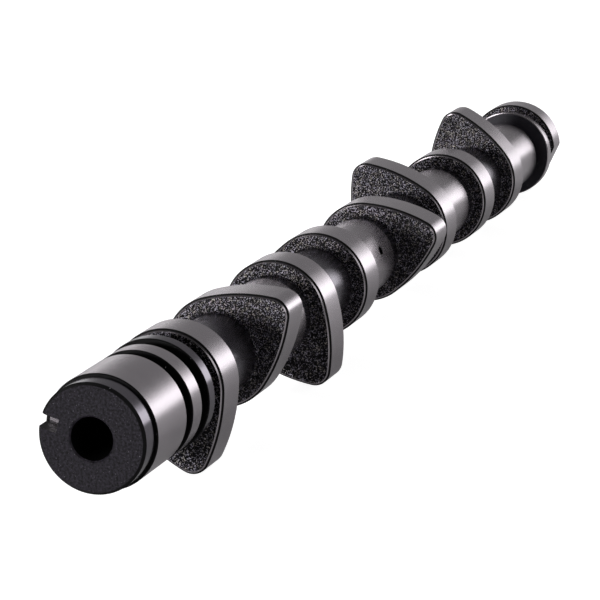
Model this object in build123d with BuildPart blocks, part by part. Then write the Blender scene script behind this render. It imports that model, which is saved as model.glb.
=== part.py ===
from build123d import *
from math import atan2, cos, degrees, radians, sin, sqrt
import os

os.makedirs("parts", exist_ok=True)

# Stations are measured in mm along the shaft from the front face.
# Angles are measured in degrees about the shaft from the keyway.

# Front end: pulley collar, first journal and two seal lands
collar_radius = 16.0
collar_length = 7.0
collar_chamfer = 0.8
collar_relief = 0.4
front_journal_radius = 16.8
front_journal_length = 21.0
seal_groove_width = 4.6
seal_groove_depth = 2.4
first_land_length = 7.0
second_land_radius = 17.2
second_land_length = 4.5
turned_edge = 0.3

# Bolt bore, keyway and oil way
bore_radius = 6.3
bore_depth = 42.0
bore_mouth = 0.4
bore_mouth_cone = 90.0
keyway_width = 4.0
keyway_floor_radius = 10.4
oil_way_radius = 2.5
oil_way_overrun = 3.0
oil_hole_radius = 1.5
oil_hole_angle = 140.0

# Cylinders of the engine, numbered from the front
first_cylinder = 81.6
bore_pitch = 90.0
valve_spacing = 40.5
cylinder_phases = [0.0, 90.0, 270.0, 180.0]

# Cam lobes: exhaust lobes stand outermost in each pair of cylinders
first_exhaust_angle = -124.0
lobe_separation = 108.0
lobe_width = 13.5
base_radius = 17.4
cam_lift = 9.6
nose_radius = 5.6
flank_radius = 54.0
lobe_chamfer = 0.9

# Cast shaft and its ground journals
core_radius = 12.4
core_flare = 0.6
journal_radius = 13.1
journal_relief = 6.5
journal_chamfer = 0.5
rear_journal_length = 28.0

# Rear end: thrust disc and rear cam
rear_relief = 4.8
rear_neck_radius = 11.5
thrust_disc_radius = 16.7
thrust_disc_length = 4.7
rear_cam_gap = 1.5
rear_cam_length = 10.0
rear_cam_angle = 70.0
rear_cam_base_radius = 14.7
rear_cam_crest_radius = 18.8
rear_cam_flank_angle = 120.0
rear_cam_flank_length = 9.6
rear_cam_corner = 2.5
rear_cam_chamfer = 0.6
centre_drill_radius = 2.0
centre_drill_mouth = 4.0
centre_drill_depth = 9.0
centre_drill_cone = 60.0

# How closely the resting pose is worked out, in degrees
pose_accuracy = 1e-6

# Places worked out from the sizes
front_journal_start = collar_length
first_land_start = front_journal_start + front_journal_length + seal_groove_width
second_land_start = first_land_start + first_land_length + seal_groove_width
second_land_end = second_land_start + second_land_length
front_neck_radius = front_journal_radius - seal_groove_depth
nose_offset = base_radius + cam_lift - nose_radius

# Centre of a flank arc, and how far from the nose the nose arc and the flank arc end
base_reach = flank_radius - base_radius
nose_reach = flank_radius - nose_radius
flank_x = (base_reach**2 - nose_reach**2 + nose_offset**2) / (2 * nose_offset)
flank_y = sqrt(base_reach**2 - flank_x**2)
nose_turn = degrees(atan2(flank_y, nose_offset - flank_x))
base_turn = degrees(atan2(flank_y, -flank_x))


def lobe_places():
    """Return the middle station and nose angle of each lobe, from front to rear."""
    places = []
    for number, phase in enumerate(cylinder_phases):
        middle = first_cylinder + number * bore_pitch
        exhaust_angle = first_exhaust_angle + phase
        intake_angle = exhaust_angle - lobe_separation
        exhaust_side = -1 if number % 2 == 0 else 1
        pair = [
            (middle + exhaust_side * valve_spacing / 2, exhaust_angle),
            (middle - exhaust_side * valve_spacing / 2, intake_angle),
        ]
        places.extend(sorted(pair))
    return places


lobes = lobe_places()
front_lobe_face = lobes[0][0] - lobe_width / 2
rear_lobe_face = lobes[-1][0] + lobe_width / 2
cylinder_gaps = list(zip(lobes[1::2], lobes[2::2]))
centre_journal = (lobes[3][0] + lobes[4][0]) / 2
rear_journal_start = rear_lobe_face + journal_relief
rear_journal_end = rear_journal_start + rear_journal_length
thrust_disc_start = rear_journal_end + rear_relief
thrust_disc_end = thrust_disc_start + thrust_disc_length
rear_cam_start = thrust_disc_end + rear_cam_gap
rear_face = rear_cam_start + rear_cam_length


def lobe_reach(turn):
    """Return how far a lobe reaches from the shaft's axis, this many degrees from its nose."""
    turn = abs((turn + 180) % 360 - 180)
    if turn < nose_turn:
        return nose_radius + nose_offset * cos(radians(turn))
    if turn < base_turn:
        return flank_radius + flank_x * cos(radians(turn)) - flank_y * sin(radians(turn))
    return base_radius


def resting_pose():
    """Return the angle that points down and the fall of the axis, as the shaft lies on a floor.

    It lies on its first lobe, its seventh lobe and the rim of the thrust disc.
    """

    def slope(lobe_place, downward):
        station, angle = lobe_place
        rim = station + lobe_width / 2 - lobe_chamfer
        reach = lobe_reach(angle - downward)
        return (reach - thrust_disc_radius) / (thrust_disc_end - turned_edge - rim)

    first_lobe = lobes[0]
    seventh_lobe = lobes[-2]
    first_down = first_lobe[1]
    seventh_down = seventh_lobe[1]
    while abs(first_down - seventh_down) > pose_accuracy:
        downward = (first_down + seventh_down) / 2
        if slope(first_lobe, downward) > slope(seventh_lobe, downward):
            first_down = downward
        else:
            seventh_down = downward
    return downward, degrees(atan2(slope(first_lobe, downward), 1))


def spun(plane, angle):
    """Return the plane turned by the angle about its own normal."""
    return Plane(plane.location * Rotation(0, 0, angle))


downward_angle, shaft_fall = resting_pose()
fall = radians(shaft_fall)
lying = Plane(origin=(0, 0, 0), x_dir=(-sin(fall), 0, -cos(fall)), z_dir=(cos(fall), 0, -sin(fall)))
shaft = spun(lying, -downward_angle)
half_section = Plane(origin=shaft.origin, x_dir=shaft.z_dir, z_dir=shaft.y_dir)
shaft_axis = Axis(shaft.origin, shaft.z_dir)


def turned_round(start, length, radius, front_edge, rear_edge):
    """Draw the half-section of a turned round with a chamfer of its own on each rim."""
    end = start + length
    with BuildLine() as outline:
        Polyline(
            (start, 0),
            (start, radius - front_edge),
            (start + front_edge, radius),
            (end - rear_edge, radius),
            (end, radius - rear_edge),
            (end, 0),
            close=True,
        )
    return outline.edges()


def turned_land(start, length, radius):
    """Draw the half-section of a ground land with the same small edge on both rims."""
    return turned_round(start, length, radius, turned_edge, turned_edge)


def bearing_journal(start, end):
    """Draw the half-section of a journal that runs in a bearing."""
    return turned_round(start, end - start, journal_radius, journal_chamfer, journal_chamfer)


def cast_neck(start, end):
    """Draw the half-section of the cast shaft between two faces, flared into both."""
    with BuildLine() as outline:
        Polyline(
            (start, 0),
            (start, core_radius + core_flare),
            (start + core_flare, core_radius),
            (end - core_flare, core_radius),
            (end, core_radius + core_flare),
            (end, 0),
            close=True,
        )
    return outline.edges()


def lobe_outline():
    """Draw the cam outline, nose towards +X: base circle, two flank arcs and the nose arc."""
    with BuildLine() as outline:
        CenterArc((nose_offset, 0), nose_radius, -nose_turn, 2 * nose_turn)
        CenterArc((flank_x, -flank_y), flank_radius, nose_turn, base_turn - nose_turn)
        CenterArc((0, 0), base_radius, base_turn, 360 - 2 * base_turn)
        CenterArc((flank_x, flank_y), flank_radius, -base_turn, base_turn - nose_turn)
    return outline.edges()


def rear_cam_outline():
    """Draw the rear cam, crest towards +X: hub arc, two straight flanks and a broad crest arc."""
    turn = radians(rear_cam_flank_angle)
    root_x = rear_cam_base_radius * cos(turn)
    root_y = rear_cam_base_radius * sin(turn)
    tip_x = root_x + rear_cam_flank_length * sin(turn)
    tip_y = root_y - rear_cam_flank_length * cos(turn)
    with BuildLine() as outline:
        ThreePointArc((tip_x, -tip_y), (rear_cam_crest_radius, 0), (tip_x, tip_y))
        Line((tip_x, tip_y), (root_x, root_y))
        ThreePointArc((root_x, root_y), (-rear_cam_base_radius, 0), (root_x, -root_y))
        Line((root_x, -root_y), (tip_x, -tip_y))
    return outline.edges()


# One lobe, standing on its front face
with BuildPart() as lobe:
    with BuildSketch():
        make_face(lobe_outline())
    extrude(amount=lobe_width)
    chamfer(lobe.faces().filter_by(Axis.Z).edges(), lobe_chamfer)

# The rear cam, standing on its front face
with BuildPart() as rear_cam:
    with BuildSketch():
        make_face(rear_cam_outline())
        fillet(vertices().group_by(Axis.X)[-1], rear_cam_corner)
    extrude(amount=rear_cam_length)
    chamfer(rear_cam.faces().filter_by(Axis.Z).edges(), rear_cam_chamfer)

# The whole casting, ground and drilled
with BuildPart() as camshaft:
    with BuildSketch(half_section):
        make_face(turned_round(0, collar_length, collar_radius, collar_chamfer, collar_relief))
        make_face(turned_land(front_journal_start, front_journal_length, front_journal_radius))
        make_face(turned_land(first_land_start, first_land_length, front_journal_radius))
        make_face(turned_land(second_land_start, second_land_length, second_land_radius))
        with Locations((collar_length, 0)):
            Rectangle(front_lobe_face - collar_length, front_neck_radius, align=Align.MIN)
        for ahead, behind in zip(lobes, lobes[1:]):
            make_face(cast_neck(ahead[0] + lobe_width / 2, behind[0] - lobe_width / 2))
        for ahead, behind in cylinder_gaps:
            journal_start = ahead[0] + lobe_width / 2 + journal_relief
            journal_end = behind[0] - lobe_width / 2 - journal_relief
            make_face(bearing_journal(journal_start, journal_end))
        # The last neck ends inside the rear journal, ahead of the turned relief
        make_face(cast_neck(rear_lobe_face, rear_journal_start + rear_journal_length / 2))
        make_face(bearing_journal(rear_journal_start, rear_journal_end))
        with Locations((rear_journal_end, 0)):
            Rectangle(rear_cam_start - rear_journal_end, rear_neck_radius, align=Align.MIN)
        make_face(turned_land(thrust_disc_start, thrust_disc_length, thrust_disc_radius))
    revolve(axis=shaft_axis)
    for station, angle in lobes:
        with Locations(spun(shaft.offset(station - lobe_width / 2), angle)):
            add(lobe.part)
    with Locations(spun(shaft.offset(rear_cam_start), rear_cam_angle)):
        add(rear_cam.part)

    # Bolt bore, with the oil way behind it
    front_face = Plane(origin=shaft.origin, x_dir=shaft.x_dir, z_dir=-shaft.z_dir)
    with Locations(front_face):
        CounterSinkHole(bore_radius, bore_radius + bore_mouth, bore_depth, bore_mouth_cone)
    with BuildSketch(shaft.offset(bore_depth)):
        Circle(oil_way_radius)
    extrude(amount=centre_journal + oil_way_overrun - bore_depth, mode=Mode.SUBTRACT)

    # Oil hole, from the oil way out through the middle journal
    oil_feed = spun(shaft.offset(centre_journal), oil_hole_angle)
    with BuildSketch(Plane(origin=oil_feed.origin, z_dir=oil_feed.x_dir)):
        Circle(oil_hole_radius)
    extrude(amount=2 * journal_radius, mode=Mode.SUBTRACT)

    # Keyway, open at the front face and at the rim of the collar
    with BuildSketch(shaft):
        with Locations((keyway_floor_radius, 0)):
            Rectangle(collar_radius, keyway_width, align=(Align.MIN, Align.CENTER))
    extrude(amount=collar_length, mode=Mode.SUBTRACT)

    # Centre hole left by the lathe in the rear face
    with Locations(shaft.offset(rear_face)):
        CounterSinkHole(
            centre_drill_radius, centre_drill_mouth, centre_drill_depth, centre_drill_cone
        )

camshaft.part.label = "camshaft"
export_step(camshaft.part, "parts/camshaft.step")
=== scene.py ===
"""Dress one camshaft: a chilled iron casting, ground on its lobes, journals and lands."""

import logging
from dataclasses import dataclass, field
from enum import Enum
from math import atan2, cos, pi, radians, sin, sqrt

import bpy
from bpy.types import Material, Node, NodeSocket, NodeTree, Object
from mathutils import Matrix, Vector


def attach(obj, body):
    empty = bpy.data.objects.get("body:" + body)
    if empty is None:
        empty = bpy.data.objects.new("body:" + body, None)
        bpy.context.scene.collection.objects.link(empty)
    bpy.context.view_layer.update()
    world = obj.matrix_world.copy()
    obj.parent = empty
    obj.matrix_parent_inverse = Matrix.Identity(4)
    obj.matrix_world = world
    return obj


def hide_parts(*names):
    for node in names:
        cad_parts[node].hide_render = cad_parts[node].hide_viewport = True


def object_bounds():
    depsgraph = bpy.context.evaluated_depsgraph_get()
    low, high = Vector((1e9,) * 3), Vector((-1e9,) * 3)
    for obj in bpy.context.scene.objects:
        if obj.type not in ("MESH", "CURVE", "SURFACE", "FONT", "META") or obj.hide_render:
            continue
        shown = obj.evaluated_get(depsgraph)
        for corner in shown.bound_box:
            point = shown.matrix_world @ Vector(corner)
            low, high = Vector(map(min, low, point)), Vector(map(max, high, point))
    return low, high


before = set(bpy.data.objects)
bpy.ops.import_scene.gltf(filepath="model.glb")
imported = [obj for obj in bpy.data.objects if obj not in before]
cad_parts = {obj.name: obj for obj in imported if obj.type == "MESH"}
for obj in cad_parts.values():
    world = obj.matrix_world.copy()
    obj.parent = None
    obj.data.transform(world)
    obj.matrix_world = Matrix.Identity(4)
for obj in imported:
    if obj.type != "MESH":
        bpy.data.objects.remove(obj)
cad_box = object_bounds()

log = logging.getLogger("camshaft")

MM = 0.001
WHITE = (1.0, 1.0, 1.0, 1.0)
# Steps round every full turn, so that the rims of neighbouring bands meet point by point
ROUND_STEPS = 180
# Points nearer than this, in mm, are one point
MERGE = 0.004
# Faces that meet at less than this angle, in degrees, look like one curved surface
SMOOTH_ANGLE = 32
# How closely the downward angle is found, in degrees
ANGLE_STEP = 1e-6
# Size of the patches that one tint of the bright grains covers, in grains
TINT_PATCH = 3


class Finish(Enum):
    """The surfaces that the casting has, by how each was made, and a lighter copy of the faced iron that
    holds painted light.
    """

    GROUND = "ground_iron"
    POLISHED = "polished_iron"
    CAST = "cast_iron_skin"
    TURNED = "turned_iron"
    FACED = "faced_iron"
    DULL = "disc_painted_light_iron"
    EDGE = "unground_edge"
    BORED = "bored_iron"


def linear(hex_colour: str) -> tuple[float, float, float, float]:
    """Turn an sRGB hex colour into the linear colour that a shader takes.

    Args:
        hex_colour: six hex digits, such as "8a8288".

    Returns:
        Red, green and blue in linear light, and an alpha of 1.
    """
    channels = []
    for start in (0, 2, 4):
        value = int(hex_colour[start:start + 2], 16) / 255
        channels.append(value / 12.92 if value <= 0.04045 else ((value + 0.055) / 1.055) ** 2.4)
    return channels[0], channels[1], channels[2], 1.0


def add_node(tree: NodeTree, kind: str, settings: dict | None = None,
             inputs: dict | None = None) -> Node:
    """Add one node, set it up and link it.

    Args:
        tree: the node tree that it joins.
        kind: the node's type name.
        settings: properties of the node, by name.
        inputs: values, or output sockets to link from, by input name or number.

    Returns:
        The new node.
    """
    node = tree.nodes.new(kind)
    for name, value in (settings or {}).items():
        setattr(node, name, value)
    for name, value in (inputs or {}).items():
        # A node such as Mix has a hidden input of the same name for each kind of data
        socket = node.inputs[name] if isinstance(name, int) else next(
            each for each in node.inputs if each.name == name and each.enabled)
        if isinstance(value, NodeSocket):
            tree.links.new(value, socket)
        else:
            socket.default_value = value
    return node


def set_ramp(node: Node, stops: list[tuple[float, float]]) -> None:
    """Give a colour ramp its grey stops.

    Args:
        node: a colour ramp node.
        stops: pairs of place and grey level, from low to high.
    """
    ramp = node.color_ramp
    while len(ramp.elements) < len(stops):
        ramp.elements.new(0.5)
    for element, (place, grey) in zip(ramp.elements, stops):
        element.position = place
        element.color = (grey, grey, grey, 1.0)


@dataclass(frozen=True)
class IronFinish:
    """One finish of the iron. Sizes of its pattern are real sizes in mm.

    The drift is the slow change between the two colours, the grain is the sand's, the lathe marks run
    round the shaft, and the rings are those of a faced end.
    """

    name: str
    colour: str
    pale_colour: str
    metallic: float
    roughness: float
    specular: float = 0.5
    drift_mm: float = 9.0
    drift_spread: float = 0.5
    grain_mm: float = 0.0
    grain_depth_mm: float = 0.0
    speck_colour: str = ""
    speck_tint: str = ""
    speck_from: float = 0.60
    speck_to: float = 0.68
    lathe_pitch_mm: float = 0.0
    lathe_depth_mm: float = 0.0
    rings_mm: float = 0.0
    rings_depth_mm: float = 0.0

    def material(self, lie: "Lie") -> Material:
        """Make the material.

        Args:
            lie: how the shaft lies, so that lathe marks run round its own axis.

        Returns:
            The new material.
        """
        material = bpy.data.materials.new(self.name)
        material.use_nodes = True
        tree = material.node_tree
        shader = tree.nodes["Principled BSDF"]
        shader.inputs["Metallic"].default_value = self.metallic
        shader.inputs["Roughness"].default_value = self.roughness
        shader.inputs["Specular IOR Level"].default_value = self.specular
        place = add_node(tree, "ShaderNodeTexCoord")
        along = add_node(tree, "ShaderNodeMapping", {"vector_type": "TEXTURE"}, {
            "Vector": place.outputs["Object"], "Rotation": lie.rotation()})
        grain = None
        if self.grain_mm:
            grain = add_node(tree, "ShaderNodeTexNoise", None, {
                "Vector": along.outputs["Vector"], "Scale": 1 / (self.grain_mm * MM), "Detail": 2.0,
                "Roughness": 0.6})
        self.colour_in(tree, shader, along, grain)
        self.relief_in(tree, shader, along, grain)
        return material

    def colour_in(self, tree: NodeTree, shader: Node, along: Node,
                  grain: Node | None) -> None:
        """Let the colour drift a little between its two shades, as iron does, and add bright grains.

        Args:
            tree: the material's node tree.
            shader: its Principled node.
            along: the coordinates along the shaft.
            grain: the pattern of the grains, or None.
        """
        drift = add_node(tree, "ShaderNodeTexNoise", None, {
            "Vector": along.outputs["Vector"], "Scale": 1 / (self.drift_mm * MM), "Detail": 3.0,
            "Roughness": 0.6})
        spread = add_node(tree, "ShaderNodeMapRange", None, {
            "Value": drift.outputs["Fac"], "From Min": 0.5 - self.drift_spread,
            "From Max": 0.5 + self.drift_spread})
        blend = add_node(tree, "ShaderNodeMix", {"data_type": "RGBA"}, {
            "Factor": spread.outputs["Result"], "A": linear(self.colour), "B": linear(self.pale_colour)})
        if self.speck_colour:
            share = add_node(tree, "ShaderNodeMapRange", {"interpolation_type": "SMOOTHSTEP"}, {
                "Value": grain.outputs["Fac"], "From Min": self.speck_from, "From Max": self.speck_to})
            heat = add_node(tree, "ShaderNodeTexNoise", None, {
                "Vector": along.outputs["Vector"], "Scale": 1 / (TINT_PATCH * self.grain_mm * MM),
                "Detail": 1.0})
            tint = add_node(tree, "ShaderNodeMapRange", None, {
                "Value": heat.outputs["Fac"], "From Min": 0.45, "From Max": 0.65})
            speck = add_node(tree, "ShaderNodeMix", {"data_type": "RGBA"}, {
                "Factor": tint.outputs["Result"], "A": linear(self.speck_colour),
                "B": linear(self.speck_tint)})
            blend = add_node(tree, "ShaderNodeMix", {"data_type": "RGBA"}, {
                "Factor": share.outputs["Result"], "A": blend.outputs["Result"],
                "B": speck.outputs["Result"]})
        tree.links.new(blend.outputs["Result"], shader.inputs["Base Color"])

    def relief_in(self, tree: NodeTree, shader: Node, along: Node,
                  grain: Node | None) -> None:
        """Raise the grain of the sand and the marks of the tool.

        Args:
            tree: the material's node tree.
            shader: its Principled node.
            along: the coordinates along the shaft.
            grain: the pattern of the grains, or None.
        """
        heights = []
        if grain:
            heights.append((grain, self.grain_depth_mm))
        if self.lathe_pitch_mm:
            station = add_node(tree, "ShaderNodeMapping", {"vector_type": "POINT"}, {
                "Vector": along.outputs["Vector"], "Scale": (1.0, 0.0, 0.0)})
            marks = add_node(tree, "ShaderNodeTexNoise", None, {
                "Vector": station.outputs["Vector"], "Scale": 1 / (self.lathe_pitch_mm * MM),
                "Detail": 2.0, "Roughness": 0.7})
            heights.append((marks, self.lathe_depth_mm))
        if self.rings_mm:
            section = add_node(tree, "ShaderNodeMapping", {"vector_type": "POINT"}, {
                "Vector": along.outputs["Vector"], "Scale": (0.0, 1.0, 1.0)})
            radius = add_node(tree, "ShaderNodeVectorMath", {"operation": "LENGTH"}, {
                0: section.outputs["Vector"]})
            rings = add_node(tree, "ShaderNodeTexNoise", {"noise_dimensions": "1D"}, {
                "W": radius.outputs["Value"], "Scale": 1 / (self.rings_mm * MM), "Detail": 2.0})
            heights.append((rings, self.rings_depth_mm))
        total = None
        for pattern, depth in heights:
            total = add_node(tree, "ShaderNodeMath", {"operation": "MULTIPLY_ADD"}, {
                0: pattern.outputs["Fac"], 1: depth * MM, 2: total.outputs[0] if total else 0.0})
        if total:
            bump = add_node(tree, "ShaderNodeBump", None, {"Height": total.outputs[0], "Distance": 1.0})
            tree.links.new(bump.outputs["Normal"], shader.inputs["Normal"])


# Ground with a stone: satin grey with a faint violet cast, a broad soft highlight; also on the keyway's end
# wall and floor as painted light
GROUND_IRON = IronFinish(
    Finish.GROUND.value, "bfb8be", "b3acb2", metallic=1.0, roughness=0.27,
    lathe_pitch_mm=0.5, lathe_depth_mm=0.002)

# Polished where a part is pressed on or a seal runs: the same grey, but darker and sharper
POLISHED_IRON = IronFinish(
    Finish.POLISHED.value, "7a757e", "6e6972", metallic=1.0, roughness=0.17,
    lathe_pitch_mm=0.5, lathe_depth_mm=0.001)

# Left as it came from the sand: nearly black scale, with bare grains that catch the light, some
# of them tinted by the heat. The real grit is 0.3 mm, drawn at 0.4 mm so that it shows
CAST_IRON = IronFinish(
    Finish.CAST.value, "08080a", "0f0d11", metallic=0.8, roughness=0.34,
    grain_mm=0.4, grain_depth_mm=0.34, speck_colour="b3aebd", speck_tint="bbb4ae",
    speck_from=0.53, speck_to=0.64)

# Necks between the lobes, turned once and left rough: dark, with a woven-looking shine
TURNED_IRON = IronFinish(
    Finish.TURNED.value, "6c6870", "78747b", metallic=1.0, roughness=0.25,
    grain_mm=0.8, grain_depth_mm=0.03, lathe_pitch_mm=0.7, lathe_depth_mm=0.008)

# Faced on the lathe and then blackened: charcoal, dull, mottled, with fine rings and bright nicks
FACED_IRON = IronFinish(
    Finish.FACED.value, "050406", "302c35", metallic=0.0, roughness=0.5, specular=0.15,
    drift_mm=0.7, drift_spread=0.16, grain_mm=0.45, grain_depth_mm=0.20,
    speck_colour="8f8b95", speck_tint="8f8b95",
    speck_from=0.68, speck_to=0.74, rings_mm=0.45, rings_depth_mm=0.08)

# Side of the thrust disc: faced iron like the end face, painted a lighter grey as painted light where the
# lobe and journal in front shade it; dull, with a soft sheen
DISC_PAINTED_LIGHT_IRON = IronFinish(
    Finish.DULL.value, "2b2830", "3b3840", metallic=0.0, roughness=0.45, specular=0.25, drift_mm=1.2,
    grain_mm=0.45, grain_depth_mm=0.05, speck_colour="a9a5ad", speck_tint="a9a5ad",
    speck_from=0.70, speck_to=0.76, rings_mm=0.45, rings_depth_mm=0.05)

# Grooves and chamfers that the stone doesn't reach: sooty black, with a stray bright grain; also on the
# keyway's side walls as painted shade
UNGROUND_EDGE = IronFinish(
    Finish.EDGE.value, "050506", "0a090b", metallic=0.0, roughness=0.6, specular=0.15,
    grain_mm=0.6, grain_depth_mm=0.10, speck_colour="a9a5ad", speck_tint="a9a5ad",
    speck_from=0.72, speck_to=0.78)

# The drilled bore and oil way: dark and oily
BORED_IRON = IronFinish(
    Finish.BORED.value, "040405", "080709", metallic=0.3, roughness=0.45,
    lathe_pitch_mm=0.6, lathe_depth_mm=0.01)

FINISHES = (
    GROUND_IRON, POLISHED_IRON, CAST_IRON, TURNED_IRON, FACED_IRON, DISC_PAINTED_LIGHT_IRON, UNGROUND_EDGE, BORED_IRON)


@dataclass(frozen=True)
class CamProfile:
    """The cam outline: base circle, two flank arcs and a nose arc, all tangent. Sizes in mm."""

    base_radius: float = 17.4
    lift: float = 9.6
    nose_radius: float = 5.6
    flank_radius: float = 54.0

    @property
    def nose_offset(self) -> float:
        """Distance from the shaft's axis to the centre of the nose arc."""
        return self.base_radius + self.lift - self.nose_radius

    @property
    def flank_centre(self) -> tuple[float, float]:
        """Place of a flank arc's centre, towards the nose and across."""
        base_reach = self.flank_radius - self.base_radius
        nose_reach = self.flank_radius - self.nose_radius
        towards = (base_reach ** 2 - nose_reach ** 2 + self.nose_offset ** 2) / (2 * self.nose_offset)
        return towards, sqrt(base_reach ** 2 - towards ** 2)

    @property
    def nose_turn(self) -> float:
        """Half of the nose arc, in radians."""
        towards, across = self.flank_centre
        return atan2(across, self.nose_offset - towards)

    @property
    def base_turn(self) -> float:
        """Angle from the nose to the start of the base circle, in radians."""
        towards, across = self.flank_centre
        return atan2(across, -towards)

    def reach(self, turn: float) -> float:
        """Distance from the axis to the outline.

        Args:
            turn: angle from the nose, in radians.

        Returns:
            The distance in mm.
        """
        turn = abs((turn + pi) % (2 * pi) - pi)
        towards, across = self.flank_centre
        if turn < self.nose_turn:
            return self.nose_radius + self.nose_offset * cos(turn)
        if turn < self.base_turn:
            return self.flank_radius + towards * cos(turn) - across * sin(turn)
        return self.base_radius


@dataclass(frozen=True)
class Timing:
    """Where the lobes stand along the shaft and which way each nose points."""

    first_cylinder: float = 81.6
    bore_pitch: float = 90.0
    valve_spacing: float = 40.5
    phases: tuple[float, ...] = (0.0, 90.0, 270.0, 180.0)
    first_exhaust_angle: float = -124.0
    lobe_separation: float = 108.0

    def places(self) -> list[tuple[float, float]]:
        """Work out the lobes.

        Returns:
            Middle station in mm and nose angle in degrees of each lobe, from front to rear.
        """
        lobes = []
        for number, phase in enumerate(self.phases):
            middle = self.first_cylinder + number * self.bore_pitch
            exhaust = self.first_exhaust_angle + phase
            side = -1 if number % 2 == 0 else 1
            pair = [(middle + side * self.valve_spacing / 2, exhaust),
                    (middle - side * self.valve_spacing / 2, exhaust - self.lobe_separation)]
            lobes.extend(sorted(pair))
        return lobes


@dataclass(frozen=True)
class Lie:
    """How the shaft lies on the floor: on its first and seventh lobes and its thrust disc."""

    profile: CamProfile
    first_lobe: tuple[float, float]
    seventh_lobe: tuple[float, float]
    lobe_rim: float
    disc_station: float
    disc_radius: float

    def slope(self, lobe: tuple[float, float], down: float) -> float:
        """Fall of the axis from a lobe to the disc.

        Args:
            lobe: its middle station and nose angle.
            down: the downward angle in degrees.

        Returns:
            The fall in mm for each mm of shaft.
        """
        station, angle = lobe
        reach = self.profile.reach(radians(angle - down))
        return (reach - self.disc_radius) / (self.disc_station - station - self.lobe_rim)

    def downward(self) -> float:
        """Find the angle from the keyway that points down, by halving.

        Returns:
            The angle in degrees.
        """
        low, high = self.first_lobe[1], self.seventh_lobe[1]
        while abs(low - high) > ANGLE_STEP:
            middle = (low + high) / 2
            if self.slope(self.first_lobe, middle) > self.slope(self.seventh_lobe, middle):
                low = middle
            else:
                high = middle
        return low

    def fall(self) -> float:
        """Fall of the axis towards the rear, in radians."""
        return atan2(self.slope(self.first_lobe, self.downward()), 1)

    def rotation(self) -> tuple[float, float, float]:
        """Turn that lays the global X axis along the shaft."""
        return 0.0, self.fall(), 0.0

    def matrix(self) -> Matrix:
        """Place the bench frame (X along the shaft, Y towards the keyway, mm) in the scene.

        Returns:
            The matrix, which turns millimetres into metres.
        """
        fall = Matrix.Rotation(self.fall(), 4, "Y")
        spin = Matrix.Rotation(-radians(self.downward()) - pi / 2, 4, "X")
        return fall @ spin @ Matrix.Scale(MM, 4)


def deselect_all() -> None:
    """Leave edit mode and deselect every object."""
    if bpy.context.object and bpy.context.object.mode != "OBJECT":
        bpy.ops.object.mode_set(mode="OBJECT")
    bpy.ops.object.select_all(action="DESELECT")


def take(piece: Object) -> None:
    """Select one object alone and make it active.

    Args:
        piece: the object.
    """
    deselect_all()
    piece.select_set(True)
    bpy.context.view_layer.objects.active = piece


def join_all(pieces: list[Object]) -> Object:
    """Join several objects into the first of them.

    Args:
        pieces: the objects.

    Returns:
        The first one, which then holds them all.
    """
    deselect_all()
    for piece in pieces:
        piece.select_set(True)
    bpy.context.view_layer.objects.active = pieces[0]
    bpy.ops.object.join()
    return pieces[0]


class Pen:
    """Draws a wire on the bench, one arc or line after another. The last point drawn stays selected."""

    def __init__(self, name: str, start: Vector, axis: Vector) -> None:
        """Put the first point down.

        Args:
            name: name of the wire.
            start: place of the first point, in mm.
            axis: normal of the plane that the arcs are drawn in.
        """
        mesh = bpy.data.meshes.new(name)
        mesh.from_pydata([start], [], [])
        self.wire = bpy.data.objects.new(name, mesh)
        bpy.context.scene.collection.objects.link(self.wire)
        self.axis = axis
        self.tip = Vector(start)
        take(self.wire)
        bpy.ops.object.mode_set(mode="EDIT")
        bpy.ops.mesh.select_mode(type="VERT")
        bpy.ops.mesh.select_all(action="SELECT")

    def arc(self, centre: Vector, turn: float, steps: int) -> None:
        """Draw an arc from the tip.

        Args:
            centre: its centre, in mm.
            turn: the angle it turns through, in radians.
            steps: how many straight steps it has.
        """
        # The spin operator turns against the right-hand rule, so the angle changes sign
        bpy.ops.mesh.spin(steps=steps, angle=-turn, use_auto_merge=False, center=centre, axis=self.axis)
        self.tip = centre + Matrix.Rotation(turn, 3, self.axis) @ (self.tip - centre)

    def line(self, end: Vector, steps: int = 1) -> None:
        """Draw a straight line from the tip.

        Args:
            end: where it ends, in mm.
            steps: how many steps it has.
        """
        stride = (end - self.tip) / steps
        for _ in range(steps):
            bpy.ops.mesh.extrude_region_move(TRANSFORM_OT_translate={"value": stride})
        self.tip = Vector(end)

    def close(self) -> Object:
        """Join the last point to the first and put the pen down.

        Returns:
            The finished wire.
        """
        bpy.ops.mesh.select_all(action="SELECT")
        bpy.ops.mesh.remove_doubles(threshold=MERGE)
        bpy.ops.object.mode_set(mode="OBJECT")
        return self.wire


def across(station: float, angle: float, radius: float) -> Vector:
    """Place a point by its station, its angle from the keyway in radians and its radius."""
    return Vector((station, radius * cos(angle), radius * sin(angle)))


ALONG = Vector((1.0, 0.0, 0.0))
OVER = Vector((0.0, 0.0, 1.0))


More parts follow.
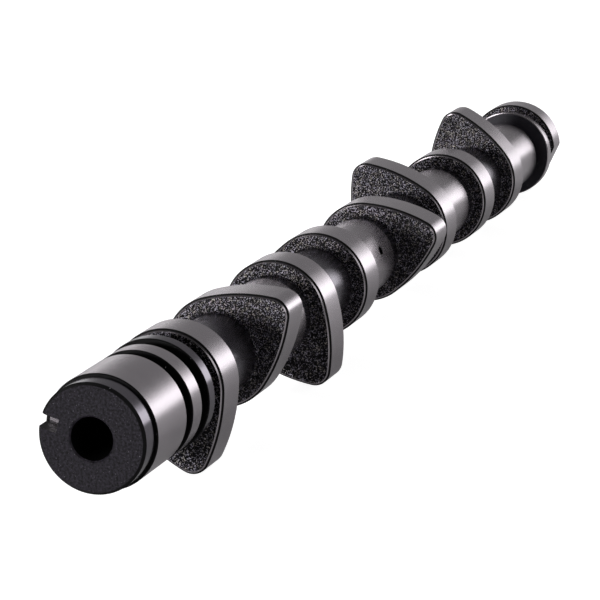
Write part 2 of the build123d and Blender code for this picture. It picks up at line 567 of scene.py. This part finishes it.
class Casting:
    """The shaft on the bench, put together from bands that each have one finish."""

    def __init__(self, slots: dict[str, Material]) -> None:
        """Start with an empty bench.

        Args:
            slots: the materials by finish name.
        """
        self.slots = slots
        self.bands: list[Object] = []

    def keep(self, band: Object, finish: Finish) -> None:
        """Give a band its finish and lay it by.

        Args:
            band: the open shell.
            finish: how its surface was made.
        """
        band.data.materials.clear()
        band.data.materials.append(self.slots[finish.value])
        self.bands.append(band)

    def turn(self, name: str, finish: Finish, points: list[tuple[float, float]],
             stride: float = 0.0) -> None:
        """Turn a band from a half-section.

        Args:
            name: name of the band.
            finish: its finish.
            points: station and radius of each corner, in mm.
            stride: longest step along a straight, or 0 for one step.
        """
        pen = Pen(name, Vector((points[0][0], points[0][1], 0.0)), OVER)
        for station, radius in points[1:]:
            end = Vector((station, radius, 0.0))
            steps = max(1, round((end - pen.tip).length / stride)) if stride else 1
            pen.line(end, steps)
        self.spin(pen, finish)

    def drum(self, name: str, finish: Finish, span: tuple[float, float], radius: float, edge: float,
             stride: float = 0.0) -> None:
        """Turn a round with a small unground chamfer at each end.

        Args:
            name: name of its bands.
            finish: finish of the round.
            span: its front and rear station, in mm.
            radius: its radius.
            edge: width of the chamfers.
            stride: longest step along the round, or 0 for one step.
        """
        start, end = span
        corner = radius - edge
        self.turn(name + "_edge", Finish.EDGE, [(start, corner), (start + edge, radius)])
        self.turn(name, finish, [(start + edge, radius), (end - edge, radius)], stride)
        self.turn(name + "_edge", Finish.EDGE, [(end - edge, radius), (end, corner)])

    def spin(self, pen: Pen, finish: Finish) -> None:
        """Spin a drawn half-section round the shaft's axis and keep the band.

        Args:
            pen: the pen with the half-section.
            finish: the band's finish.
        """
        bpy.ops.mesh.select_all(action="SELECT")
        bpy.ops.mesh.spin(
            steps=ROUND_STEPS, angle=2 * pi, use_auto_merge=True, center=(0, 0, 0), axis=ALONG)
        self.keep(pen.close(), finish)

    def loft(self, name: str, finish: Finish, loops: list[Object], cuts: int = 0) -> None:
        """Bridge closed wires into a band.

        Args:
            name: name of the band.
            finish: its finish.
            loops: the wires, in order.
            cuts: cuts between two wires.
        """
        band = join_all(loops)
        band.name = name
        bpy.ops.object.mode_set(mode="EDIT")
        bpy.ops.mesh.select_mode(type="EDGE")
        bpy.ops.mesh.select_all(action="SELECT")
        bpy.ops.mesh.bridge_edge_loops(number_cuts=cuts, interpolation="LINEAR", smoothness=0.0)
        bpy.ops.object.mode_set(mode="OBJECT")
        self.keep(band, finish)

    def join(self) -> Object:
        """Join the bands into one skin and close its seams.

        Returns:
            The skin, still open at the faces of the lobes.
        """
        skin = join_all(self.bands)
        skin.name = "camshaft_casting"
        skin.data.name = "camshaft_casting"
        bpy.ops.object.mode_set(mode="EDIT")
        bpy.ops.mesh.select_all(action="SELECT")
        bpy.ops.mesh.remove_doubles(threshold=MERGE)
        bpy.ops.object.mode_set(mode="OBJECT")
        return skin


@dataclass
class CamLobe:
    """One lobe: cast sides, a chamfer that is only half ground, and a ground outline. Sizes in mm."""

    profile: CamProfile
    width: float = 13.5
    chamfer: float = 0.9
    burnish_inset: float = 0.55
    burnish_start: float = 0.9
    rim_finishes: tuple[Finish, ...] = (
        Finish.GROUND, Finish.EDGE, Finish.GROUND, Finish.EDGE, Finish.GROUND)
    nose_steps: int = 24
    flank_steps: int = 26
    face_cuts: int = 9

    def outline(self, station: float, angle: float, inset: float) -> Object:
        """Draw the cam outline as a closed wire.

        Args:
            station: its station.
            angle: the nose's angle from the keyway, in radians.
            inset: how far inside the full outline it runs.

        Returns:
            The wire.
        """
        cam = self.profile
        towards, aside = cam.flank_centre
        base_steps = ROUND_STEPS - self.nose_steps - 2 * self.flank_steps
        flank_turn = cam.base_turn - cam.nose_turn
        turned = Matrix.Rotation(angle, 3, "X")
        nose = turned @ Vector((station, cam.nose_offset, 0.0))
        start = nose + across(0.0, angle - cam.nose_turn, cam.nose_radius - inset)
        pen = Pen("outline", start, ALONG)
        pen.arc(nose, 2 * cam.nose_turn, self.nose_steps)
        pen.arc(turned @ Vector((station, towards, -aside)), flank_turn, self.flank_steps)
        pen.arc(Vector((station, 0.0, 0.0)), 2 * pi - 2 * cam.base_turn, base_steps)
        pen.arc(turned @ Vector((station, towards, aside)), flank_turn, self.flank_steps)
        return pen.close()

    def corners(self) -> list[tuple[float, float]]:
        """List the rim's corners from front to rear, each as its station and its inset."""
        half = self.width / 2
        depth = self.chamfer - self.burnish_inset
        return [
            (-half, self.burnish_start), (-half + depth, self.burnish_inset), (-half + self.chamfer, 0.0),
            (half - self.chamfer, 0.0), (half - depth, self.burnish_inset), (half, self.burnish_start)]

    def model_rim(self, casting: Casting) -> Object:
        """Model the rim of a lobe once, with its nose towards the keyway.

        Args:
            casting: the casting, for its finishes.

        Returns:
            The rim, an open band from one side of the lobe to the other.
        """
        corners = self.corners()
        first = len(casting.bands)
        for finish, (front, front_inset), (rear, rear_inset) in zip(
                self.rim_finishes, corners, corners[1:]):
            loops = [self.outline(front, 0.0, front_inset), self.outline(rear, 0.0, rear_inset)]
            casting.loft("rim", finish, loops)
        bands = casting.bands[first:]
        del casting.bands[first:]
        return join_all(bands)

    def place(self, casting: Casting, rim: Object, station: float, angle: float,
              front_neck: float, rear_neck: float) -> None:
        """Set a copy of the rim at its station and close its two sides down to the shaft.

        Args:
            casting: the casting that it joins.
            rim: the rim that was modelled once.
            station: middle of the lobe.
            angle: the nose's angle from the keyway, in radians.
            front_neck: radius of the shaft at the lobe's front side.
            rear_neck: radius of the shaft at its rear side.
        """
        copy = rim.copy()
        copy.data = rim.data.copy()
        bpy.context.scene.collection.objects.link(copy)
        copy.data.transform(Matrix.Translation((station, 0.0, 0.0)) @ Matrix.Rotation(angle, 4, "X"))
        casting.bands.append(copy)
        for side, neck in ((-1, front_neck), (1, rear_neck)):
            face = station + side * self.width / 2
            loops = [ring(face, neck), self.outline(face, angle, self.burnish_start)]
            casting.loft("side", Finish.CAST, loops, self.face_cuts)


def ring(station: float, radius: float) -> Object:
    """Draw a circle round the shaft's axis.

    Args:
        station: its station, in mm.
        radius: its radius, in mm.

    Returns:
        The wire.
    """
    pen = Pen("ring", Vector((station, radius, 0.0)), ALONG)
    pen.arc(Vector((station, 0.0, 0.0)), 2 * pi, ROUND_STEPS)
    return pen.close()


@dataclass
class CastShaft:
    """The cast shaft between the lobes, with its ground journals. Sizes in mm."""

    radius: float = 12.4
    fillet: float = 0.9
    journal_radius: float = 13.1
    journal_relief: float = 6.5
    journal_chamfer: float = 0.5
    journal_stride: float = 6.0
    stride: float = 1.3
    fillet_steps: int = 4

    @property
    def root_radius(self) -> float:
        """Radius at which the shaft's fillet meets a lobe."""
        return self.radius + self.fillet

    def neck(self, casting: Casting, start: float, end: float, front_fillet: bool,
             rear_fillet: bool) -> None:
        """Make a stretch of cast shaft.

        Args:
            casting: the casting that it joins.
            start: its front station.
            end: its rear station.
            front_fillet: whether a fillet leads into the face in front.
            rear_fillet: whether one leads into the face behind.
        """
        straight_start = start + self.fillet if front_fillet else start
        straight_end = end - self.fillet if rear_fillet else end
        if front_fillet:
            pen = Pen("neck_fillet", Vector((start, self.root_radius, 0.0)), OVER)
            pen.arc(Vector((straight_start, self.root_radius, 0.0)), pi / 2, self.fillet_steps)
            casting.spin(pen, Finish.CAST)
        casting.turn("neck", Finish.TURNED, [
            (straight_start, self.radius), (straight_end, self.radius)], self.stride)
        if rear_fillet:
            pen = Pen("neck_fillet", Vector((straight_end, self.radius, 0.0)), OVER)
            pen.arc(Vector((straight_end, self.root_radius, 0.0)), pi / 2, self.fillet_steps)
            casting.spin(pen, Finish.CAST)

    def journal(self, casting: Casting, start: float, end: float, front_root: float,
                rear_root: float) -> None:
        """Make a ground journal and its two cast sides.

        Args:
            casting: the casting that it joins.
            start: its front station.
            end: its rear station.
            front_root: radius of the shaft in front of it.
            rear_root: radius of the shaft behind it.
        """
        corner = self.journal_radius - self.journal_chamfer
        casting.turn("journal_side", Finish.CAST, [(start, front_root), (start, corner)], self.stride)
        casting.drum("journal", Finish.GROUND, (start, end), self.journal_radius, self.journal_chamfer,
                     self.journal_stride)
        casting.turn("journal_side", Finish.CAST, [(end, corner), (end, rear_root)], self.stride)

    def between(self, casting: Casting, start: float, end: float) -> None:
        """Fill the gap between two cylinders with a journal and a neck on each side.

        Args:
            casting: the casting that it joins.
            start: rear side of the lobe in front.
            end: front side of the lobe behind.
        """
        journal_start = start + self.journal_relief
        journal_end = end - self.journal_relief
        self.neck(casting, start, journal_start, True, False)
        self.journal(casting, journal_start, journal_end, self.radius, self.radius)
        self.neck(casting, journal_end, end, False, True)


@dataclass
class FrontEnd:
    """Pulley collar, first journal and two seal lands, drilled and keyed. Sizes in mm."""

    collar_radius: float = 16.0
    collar_length: float = 7.0
    collar_chamfer: float = 0.8
    collar_relief: float = 0.4
    journal_radius: float = 16.8
    journal_length: float = 21.0
    groove_width: float = 4.6
    groove_depth: float = 2.4
    first_land_length: float = 7.0
    second_land_radius: float = 17.2
    second_land_length: float = 4.5
    turned_edge: float = 0.3
    bore_radius: float = 6.3
    bore_depth: float = 42.0
    bore_mouth: float = 0.4
    keyway_width: float = 4.0
    keyway_floor_radius: float = 10.4
    oil_way_radius: float = 2.5
    oil_way_overrun: float = 3.0
    oil_hole_radius: float = 1.5
    oil_hole_angle: float = 140.0
    oil_hole_sides: int = 32
    cutter_clearance: float = 5.0
    groove_stride: float = 0.9
    face_stride: float = 1.4

    @property
    def neck_radius(self) -> float:
        """Radius at the floor of the grooves and in front of the first lobe."""
        return self.journal_radius - self.groove_depth

    def groove(self, casting: Casting, start: float, end: float, front_radius: float,
               rear_radius: float | None) -> None:
        """Make a groove between two lands, or the neck in front of the first lobe.

        Args:
            casting: the casting that it joins.
            start: its front station.
            end: its rear station.
            front_radius: radius of the land in front of it.
            rear_radius: radius of the land behind it, or None for the open neck.
        """
        edge = self.turned_edge
        points = [(start, front_radius - edge), (start, self.neck_radius), (end, self.neck_radius)]
        if rear_radius is not None:
            points.append((end, rear_radius - edge))
        casting.turn("groove", Finish.EDGE, points, self.groove_stride)

    def build(self, casting: Casting, lobe_face: float, centre_journal: float) -> None:
        """Make the front end, from the bottom of the oil way round the end face to the first lobe.

        Args:
            casting: the casting that it joins.
            lobe_face: front side of the first lobe.
            centre_journal: middle of the middle journal, where the oil way ends.
        """
        oil_way_end = centre_journal + self.oil_way_overrun
        edge = self.turned_edge
        chamfer = self.collar_chamfer
        journal_start = self.collar_length
        journal_end = journal_start + self.journal_length
        first_land_start = journal_end + self.groove_width
        first_land_end = first_land_start + self.first_land_length
        second_land_start = first_land_end + self.groove_width
        second_land_end = second_land_start + self.second_land_length
        casting.turn("bore", Finish.BORED, [
            (oil_way_end, 0.0), (oil_way_end, self.oil_way_radius), (self.bore_depth, self.oil_way_radius),
            (self.bore_depth, self.bore_radius), (self.bore_mouth, self.bore_radius)])
        casting.turn("bore_mouth", Finish.FACED, [
            (self.bore_mouth, self.bore_radius), (0.0, self.bore_radius + self.bore_mouth)])
        casting.turn("end_face", Finish.FACED, [
            (0.0, self.bore_radius + self.bore_mouth), (0.0, self.collar_radius - chamfer)], self.face_stride)
        casting.turn("collar_edge", Finish.EDGE, [
            (0.0, self.collar_radius - chamfer), (chamfer, self.collar_radius)])
        collar_end = self.collar_length - self.collar_relief
        casting.turn("collar", Finish.POLISHED, [
            (chamfer, self.collar_radius), (collar_end, self.collar_radius)])
        casting.turn("collar_relief", Finish.EDGE, [
            (collar_end, self.collar_radius), (journal_start, self.collar_radius - self.collar_relief),
            (journal_start, self.journal_radius - edge)])
        casting.drum("front_journal", Finish.GROUND, (journal_start, journal_end), self.journal_radius, edge)
        self.groove(casting, journal_end, first_land_start, self.journal_radius, self.journal_radius)
        casting.drum(
            "first_land", Finish.GROUND, (first_land_start, first_land_end), self.journal_radius, edge)
        self.groove(casting, first_land_end, second_land_start, self.journal_radius, self.second_land_radius)
        casting.drum("second_land", Finish.POLISHED, (second_land_start, second_land_end),
                     self.second_land_radius, edge)
        self.groove(casting, second_land_end, lobe_face, self.second_land_radius, None)

    def cut_keyway(self, skin: Object, slots: dict[str, Material]) -> None:
        """Mill the keyway through the collar.

        Args:
            skin: the closed skin.
            slots: the materials by finish name.
        """
        length = self.collar_length + self.cutter_clearance
        height = self.collar_radius + self.cutter_clearance - self.keyway_floor_radius
        deselect_all()
        bpy.ops.mesh.primitive_cube_add(size=1.0, location=(
            self.collar_length - length / 2, self.keyway_floor_radius + height / 2, 0.0))
        cutter = bpy.context.object
        bpy.ops.transform.resize(value=(length, height, self.keyway_width))
        bpy.ops.object.transform_apply(location=True, rotation=True, scale=True)
        cutter.data.materials.append(slots[Finish.EDGE.value])
        cutter.data.materials.append(slots[Finish.GROUND.value])
        # The end wall and the floor take the bright ground finish and the side walls the black unground one,
        # though all are the same milled iron: painted light on the end wall and floor, painted shade on the
        # side walls
        for face in cutter.data.polygons:
            face.material_index = 1 if face.normal.x > 0.5 or face.normal.y < -0.5 else 0
        cut(skin, cutter)

    def drill_oil_hole(self, skin: Object, slots: dict[str, Material],
                       centre_journal: float, journal_radius: float) -> None:
        """Drill the oil hole from the middle journal down to the oil way.

        Args:
            skin: the closed skin.
            slots: the materials by finish name.
            centre_journal: middle of the middle journal.
            journal_radius: its radius.
        """
        angle = radians(self.oil_hole_angle)
        depth = 2 * journal_radius
        deselect_all()
        bpy.ops.mesh.primitive_cylinder_add(
            vertices=self.oil_hole_sides, radius=self.oil_hole_radius, depth=depth,
            location=across(centre_journal, angle, depth / 2), rotation=(angle - pi / 2, 0.0, 0.0))
        bpy.context.object.data.materials.append(slots[Finish.BORED.value])
        cut(skin, bpy.context.object)


def cut(skin: Object, cutter: Object) -> None:
    """Cut one shape out of the skin and throw the cutter away.

    Args:
        skin: what is cut.
        cutter: the shape that goes, with the finishes of the new walls.
    """
    take(skin)
    modifier = skin.modifiers.new("cut", "BOOLEAN")
    modifier.operation = "DIFFERENCE"
    modifier.solver = "EXACT"
    modifier.material_mode = "TRANSFER"
    modifier.object = cutter
    bpy.ops.object.modifier_apply(modifier=modifier.name)
    bpy.data.objects.remove(cutter)


@dataclass
class RearEnd:
    """Rear journal, thrust disc and the half-turn cam behind it. Sizes in mm."""

    journal_length: float = 28.0
    relief: float = 4.8
    neck_radius: float = 11.5
    disc_radius: float = 16.7
    disc_length: float = 4.7
    turned_edge: float = 0.3
    cam_gap: float = 1.5
    cam_length: float = 10.0
    cam_angle: float = 70.0
    cam_base_radius: float = 14.7
    cam_crest_radius: float = 18.8
    cam_flank_angle: float = 120.0
    cam_flank_length: float = 9.6
    cam_corner: float = 2.5
    cam_chamfer: float = 0.6
    drill_radius: float = 2.0
    drill_mouth: float = 4.0
    drill_depth: float = 9.0
    drill_cone: float = 60.0
    hub_steps: int = 60
    flank_steps: int = 8
    corner_steps: int = 8
    face_cuts: int = 6
    stride: float = 1.5

    def outline(self, station: float, inset: float) -> Object:
        """Draw the rear cam's outline: hub arc, two straight flanks, two corners and the crest.

        Args:
            station: its station.
            inset: how far inside the full outline it runs.

        Returns:
            The wire.
        """
        flank_angle = radians(self.cam_flank_angle)
        root = across(0.0, flank_angle, self.cam_base_radius)
        flank = Vector((0.0, sin(flank_angle), -cos(flank_angle)))
        inward = across(0.0, flank_angle, -1.0)
        tip = root + flank * self.cam_flank_length
        # The crest arc runs through the tips of both flanks and its own highest point
        crest = ((tip.y ** 2 + tip.z ** 2 - self.cam_crest_radius ** 2)
                 / (2 * (tip.y - self.cam_crest_radius)))
        crest_centre = Vector((0.0, crest, 0.0))
        crest_radius = self.cam_crest_radius - crest
        corner_root = root + inward * self.cam_corner
        offset = corner_root - crest_centre
        reach = crest_radius - self.cam_corner
        run = -offset.dot(flank) + sqrt(offset.dot(flank) ** 2 - offset.length_squared + reach ** 2)
        corner = corner_root + flank * run
        crest_angle = atan2(corner.z, corner.y - crest)
        turned = Matrix.Rotation(radians(self.cam_angle), 3, "X")
        shift = Vector((station, 0.0, 0.0))
        near_corner = Vector((0.0, corner.y, -corner.z))
        crest_steps = ROUND_STEPS - self.hub_steps - 2 * self.flank_steps - 2 * self.corner_steps
        start = crest_centre + across(0.0, -crest_angle, crest_radius - inset)
        pen = Pen("rear_cam", turned @ start + shift, ALONG)
        pen.arc(turned @ crest_centre + shift, 2 * crest_angle, crest_steps)
        pen.arc(turned @ corner + shift, flank_angle - crest_angle, self.corner_steps)
        pen.line(turned @ (root + inward * inset) + shift, self.flank_steps)
        pen.arc(shift, 2 * pi - 2 * flank_angle, self.hub_steps)
        near_end = near_corner + across(0.0, -flank_angle, self.cam_corner - inset)
        pen.line(turned @ near_end + shift, self.flank_steps)
        pen.arc(turned @ near_corner + shift, flank_angle - crest_angle, self.corner_steps)
        return pen.close()

    def build(self, casting: Casting, shaft: CastShaft, lobe_face: float) -> None:
        """Make the rear end.

        Args:
            casting: the casting that it joins.
            shaft: the cast shaft that it carries on.
            lobe_face: rear side of the last lobe.
        """
        start = lobe_face + shaft.journal_relief
        end = start + self.journal_length
        disc_start = end + self.relief
        disc_end = disc_start + self.disc_length
        cam_start = disc_end + self.cam_gap
        cam_end = cam_start + self.cam_length
        edge = self.turned_edge
        shaft.neck(casting, lobe_face, start, True, False)
        shaft.journal(casting, start, end, shaft.radius, self.neck_radius)
        casting.turn(
            "relief", Finish.EDGE, [(end, self.neck_radius), (disc_start, self.neck_radius)], self.stride)
        # The disc's side takes the lighter finish: painted light where the shaft in front shades it
        casting.turn("disc_side", Finish.DULL, [
            (disc_start, self.neck_radius), (disc_start, self.disc_radius - edge)], self.stride)
        casting.turn("thrust_disc", Finish.GROUND, [
            (disc_start, self.disc_radius - edge), (disc_start + edge, self.disc_radius),
            (disc_end - edge, self.disc_radius), (disc_end, self.disc_radius - edge)])
        casting.turn("gap", Finish.EDGE, [
            (disc_end, self.disc_radius - edge), (disc_end, self.neck_radius),
            (cam_start, self.neck_radius)], self.stride)
        chamfer = self.cam_chamfer
        casting.loft("cam_side", Finish.CAST, [
            ring(cam_start, self.neck_radius), self.outline(cam_start, chamfer)], self.face_cuts)
        casting.loft("cam_edge", Finish.EDGE, [
            self.outline(cam_start, chamfer), self.outline(cam_start + chamfer, 0.0)])
        casting.loft("cam_rim", Finish.GROUND, [
            self.outline(cam_start + chamfer, 0.0), self.outline(cam_end - chamfer, 0.0)])
        casting.loft("cam_edge", Finish.EDGE, [
            self.outline(cam_end - chamfer, 0.0), self.outline(cam_end, chamfer)])
        casting.loft("rear_face", Finish.FACED, [
            self.outline(cam_end, chamfer), ring(cam_end, self.drill_mouth)], self.face_cuts)
        half_cone = radians(self.drill_cone / 2)
        cone_depth = (self.drill_mouth - self.drill_radius) / sin(half_cone) * cos(half_cone)
        casting.turn("centre_hole", Finish.BORED, [
            (cam_end, self.drill_mouth), (cam_end - cone_depth, self.drill_radius),
            (cam_end - self.drill_depth, self.drill_radius), (cam_end - self.drill_depth, 0.0)])


@dataclass
class Camshaft:
    """The whole casting, from its sizes to the finished piece in the scene."""

    profile: CamProfile = field(default_factory=CamProfile)
    timing: Timing = field(default_factory=Timing)
    front: FrontEnd = field(default_factory=FrontEnd)
    shaft: CastShaft = field(default_factory=CastShaft)
    rear: RearEnd = field(default_factory=RearEnd)
    grain_mm: float = 1.6
    grain_depth_mm: float = 0.16

    def __post_init__(self) -> None:
        """Work out the lobe and how the shaft lies."""
        self.lobe = CamLobe(self.profile)
        self.lobes = self.timing.places()
        half = self.lobe.width / 2
        rear_face = self.lobes[-1][0] + half
        disc_end = (rear_face + self.shaft.journal_relief + self.rear.journal_length + self.rear.relief
                    + self.rear.disc_length)
        self.lie = Lie(self.profile, self.lobes[0], self.lobes[-2], half - self.lobe.chamfer,
                       disc_end - self.rear.turned_edge, self.rear.disc_radius)
        self.centre_journal = (self.lobes[3][0] + self.lobes[4][0]) / 2

    def make_skin(self, slots: dict[str, Material]) -> Object:
        """Make the closed skin of the casting on the bench.

        Args:
            slots: the materials by finish name.

        Returns:
            The skin, in mm.
        """
        casting = Casting(slots)
        half = self.lobe.width / 2
        self.front.build(casting, self.lobes[0][0] - half, self.centre_journal)
        log.info("front end modelled")
        rim = self.lobe.model_rim(casting)
        last = len(self.lobes) - 1
        for number, (station, angle) in enumerate(self.lobes):
            front_neck = self.front.neck_radius if number == 0 else self.shaft.root_radius
            self.lobe.place(casting, rim, station, radians(angle), front_neck, self.shaft.root_radius)
            if number == last:
                continue
            start, end = station + half, self.lobes[number + 1][0] - half
            if number % 2 == 0:
                self.shaft.neck(casting, start, end, True, True)
            else:
                self.shaft.between(casting, start, end)
        bpy.data.objects.remove(rim)
        log.info("%d lobes modelled", len(self.lobes))
        self.rear.build(casting, self.shaft, self.lobes[-1][0] + half)
        log.info("rear end modelled")
        return casting.join()

    def roughen(self, skin: Object) -> None:
        """Raise the coarse grain of the sand on the cast faces, and leave the ground ones true.

        Args:
            skin: the closed skin, in mm.
        """
        mesh = skin.data
        cast_slot = mesh.materials.find(Finish.CAST.value)
        kept = set()
        cast = set()
        for face in mesh.polygons:
            (cast if face.material_index == cast_slot else kept).update(face.vertices)
        group = skin.vertex_groups.new(name="cast")
        group.add(sorted(cast - kept), 1.0, "REPLACE")
        sand = bpy.data.textures.new("sand", "CLOUDS")
        sand.noise_scale = self.grain_mm
        sand.noise_depth = 2
        take(skin)
        modifier = skin.modifiers.new("grain", "DISPLACE")
        modifier.texture = sand
        modifier.texture_coords = "LOCAL"
        modifier.vertex_group = group.name
        modifier.strength = 2 * self.grain_depth_mm
        modifier.mid_level = 0.5
        bpy.ops.object.modifier_apply(modifier=modifier.name)

    def build(self) -> Object:
        """Make the finished piece in the scene.

        Returns:
            The camshaft, in metres, where the frame's node is.
        """
        slots = {finish.name: finish.material(self.lie) for finish in FINISHES}
        skin = self.make_skin(slots)
        bpy.ops.object.mode_set(mode="EDIT")
        bpy.ops.mesh.select_all(action="SELECT")
        bpy.ops.mesh.normals_make_consistent(inside=False)
        bpy.ops.object.mode_set(mode="OBJECT")
        log.info("skin of %d faces", len(skin.data.polygons))
        self.front.cut_keyway(skin, slots)
        self.front.drill_oil_hole(skin, slots, self.centre_journal, self.shaft.journal_radius)
        log.info("keyway and oil hole cut")
        self.roughen(skin)
        take(skin)
        bpy.ops.object.shade_smooth_by_angle(angle=radians(SMOOTH_ANGLE))
        skin.data.transform(self.lie.matrix())
        skin.data.update()
        return skin


# Middle of the shaft, in metres, at which the lamps are aimed
SHAFT_MIDDLE = (0.2, 0.0, 0.0)


@dataclass(frozen=True)
class SoftBox:
    """One soft lamp of the studio. Lengths in metres."""

    name: str
    place: tuple[float, float, float]
    aim: tuple[float, float, float]
    width: float
    height: float
    watts: float

    def hang(self) -> None:
        """Hang the lamp and point it."""
        lamp = bpy.data.lights.new(self.name, "AREA")
        lamp.shape = "RECTANGLE"
        lamp.size = self.width
        lamp.size_y = self.height
        lamp.energy = self.watts
        holder = bpy.data.objects.new(self.name, lamp)
        bpy.context.scene.collection.objects.link(holder)
        holder.location = self.place
        line = Vector(self.aim) - Vector(self.place)
        holder.rotation_euler = line.to_track_quat("-Z", "Y").to_euler()


@dataclass
class Studio:
    """Pale floor, soft light and the camera. Lengths in metres, angles in degrees.

    The horizon and the overhead are brightnesses of the room. The horizon's band ends at horizon_top and
    the ceiling starts at ceiling_edge, as heights on the unit sphere.
    """

    floor_level: float
    floor_size: float = 14.0
    paper_colour: str = "b8b8b8"
    camera_place: tuple[float, float, float] = (-0.68526, -0.30956, 0.24654)
    camera_turn: tuple[float, float, float] = (74.483, 0.906, -70.321)
    lens: float = 173.74
    clip_start: float = 0.01
    horizon: float = 0.45
    horizon_top: float = 0.16
    overhead: float = 0.23
    ceiling_edge: float = 0.30
    near_side: float = 0.05
    half_blend: float = 0.5
    paper_glow: float = 0.9
    mirrored_share: float = 0.1
    # The two far lamps make the long highlight on the rounds, the key lights the cast faces, and the
    # others serve the sides that the camera doesn't see
    lamps: tuple[SoftBox, ...] = (
        SoftBox("far_panel", (1.52, -0.64, 0.16), SHAFT_MIDDLE, 0.46, 0.34, 0.66),
        SoftBox("far_halo", (1.57, -0.66, 0.20), SHAFT_MIDDLE, 0.84, 0.56, 1.33),
        SoftBox("left_panel", (1.57, 0.72, 0.10), SHAFT_MIDDLE, 0.4, 0.3, 0.15),
        SoftBox("side_panel", (-0.30, -0.85, 0.42), SHAFT_MIDDLE, 0.35, 0.5, 0.66),
        SoftBox("top_panel", (0.45, 0.40, 0.50), (0.25, 0.0, 0.0), 0.4, 0.25, 1.5),
        SoftBox("rear_left", (1.10, 1.30, 0.70), (0.3, 0.0, 0.0), 0.6, 0.5, 6.0),
        SoftBox("rear_right", (1.00, -1.40, 0.60), (0.3, 0.0, 0.0), 0.6, 0.5, 6.0),
        SoftBox("back_panel", (-0.90, 0.70, 0.90), SHAFT_MIDDLE, 0.9, 0.5, 1.1),
        SoftBox("key", (-2.05, 0.72, 0.40), SHAFT_MIDDLE, 0.54, 0.43, 35.0),
    )

    def lay_floor(self) -> None:
        """Lay the pale floor under the shaft."""
        deselect_all()
        bpy.ops.mesh.primitive_plane_add(size=self.floor_size, location=(*SHAFT_MIDDLE[:2], self.floor_level))
        floor = bpy.context.object
        floor.name = "floor"
        material = bpy.data.materials.new("white_paper")
        material.use_nodes = True
        tree = material.node_tree
        tree.nodes.remove(tree.nodes["Principled BSDF"])
        path = add_node(tree, "ShaderNodeLightPath")
        seen = add_node(tree, "ShaderNodeMath", {"operation": "MULTIPLY_ADD"}, {
            0: path.outputs["Is Glossy Ray"], 1: self.mirrored_share, 2: path.outputs["Is Camera Ray"]})
        seen = add_node(tree, "ShaderNodeMath", {"operation": "ADD"}, {
            0: seen.outputs[0], 1: path.outputs["Is Transmission Ray"]})
        glow = add_node(tree, "ShaderNodeMath", {"operation": "MULTIPLY"}, {
            0: seen.outputs[0], 1: self.paper_glow})
        lit = add_node(tree, "ShaderNodeEmission", None, {
            "Color": WHITE, "Strength": glow.outputs[0]})
        paper = add_node(tree, "ShaderNodeBsdfDiffuse", None, {"Color": linear(self.paper_colour)})
        both = add_node(tree, "ShaderNodeAddShader", None, {0: paper.outputs[0], 1: lit.outputs[0]})
        tree.links.new(both.outputs[0], tree.nodes["Material Output"].inputs["Surface"])
        floor.data.materials.append(material)

    def light(self) -> None:
        """Light the studio: a bright horizon ahead, a dim ceiling, a dark rear and the soft lamps."""
        world = bpy.data.worlds.new("studio")
        bpy.context.scene.world = world
        world.use_nodes = True
        tree = world.node_tree
        background = tree.nodes["Background"]
        place = add_node(tree, "ShaderNodeTexCoord")
        direction = add_node(tree, "ShaderNodeSeparateXYZ", None, {"Vector": place.outputs["Generated"]})
        shade = add_node(tree, "ShaderNodeValToRGB", None, {"Fac": direction.outputs["Z"]})
        set_ramp(shade, [(0.0, self.horizon), (self.horizon_top, self.horizon),
                         (self.ceiling_edge, self.overhead), (1.0, self.overhead)])
        path = add_node(tree, "ShaderNodeLightPath")
        # The half of the room behind the camera is dim, so that shaded cast faces go nearly black
        depth = add_node(tree, "ShaderNodeMapRange", {"interpolation_type": "SMOOTHSTEP"}, {
            "Value": direction.outputs["X"], "From Min": -self.half_blend, "From Max": self.half_blend,
            "To Min": self.near_side, "To Max": 1.0})
        room = add_node(tree, "ShaderNodeVectorMath", {"operation": "SCALE"}, {
            0: shade.outputs["Color"], "Scale": depth.outputs["Result"]})
        blend = add_node(tree, "ShaderNodeMix", {"data_type": "RGBA"}, {
            "Factor": path.outputs["Is Camera Ray"], "A": room.outputs["Vector"], "B": WHITE})
        tree.links.new(blend.outputs["Result"], background.inputs["Color"])
        for lamp in self.lamps:
            lamp.hang()

    def set_camera(self) -> None:
        """Put the camera where the photograph was taken from."""
        camera = bpy.data.cameras.new("camera")
        camera.lens = self.lens
        camera.clip_start = self.clip_start
        holder = bpy.data.objects.new("camera", camera)
        bpy.context.scene.collection.objects.link(holder)
        holder.location = self.camera_place
        holder.rotation_euler = [radians(turn) for turn in self.camera_turn]
        bpy.context.scene.camera = holder

    def build(self) -> None:
        """Set the whole studio up."""
        self.lay_floor()
        self.light()
        self.set_camera()
        bpy.context.scene.view_settings.view_transform = "Standard"


def main() -> None:
    """Build the camshaft and the studio round it."""
    camshaft = Camshaft().build()
    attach(camshaft, "root")
    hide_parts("camshaft")
    log.info("camshaft finished: %d faces", len(camshaft.data.polygons))
    studio = Studio(floor_level=cad_box[0][2])
    studio.build()
    log.info("studio set up with %d lamps", len(studio.lamps))


if __name__ == "__main__":
    logging.basicConfig(level=logging.INFO, format="%(message)s")
    main()
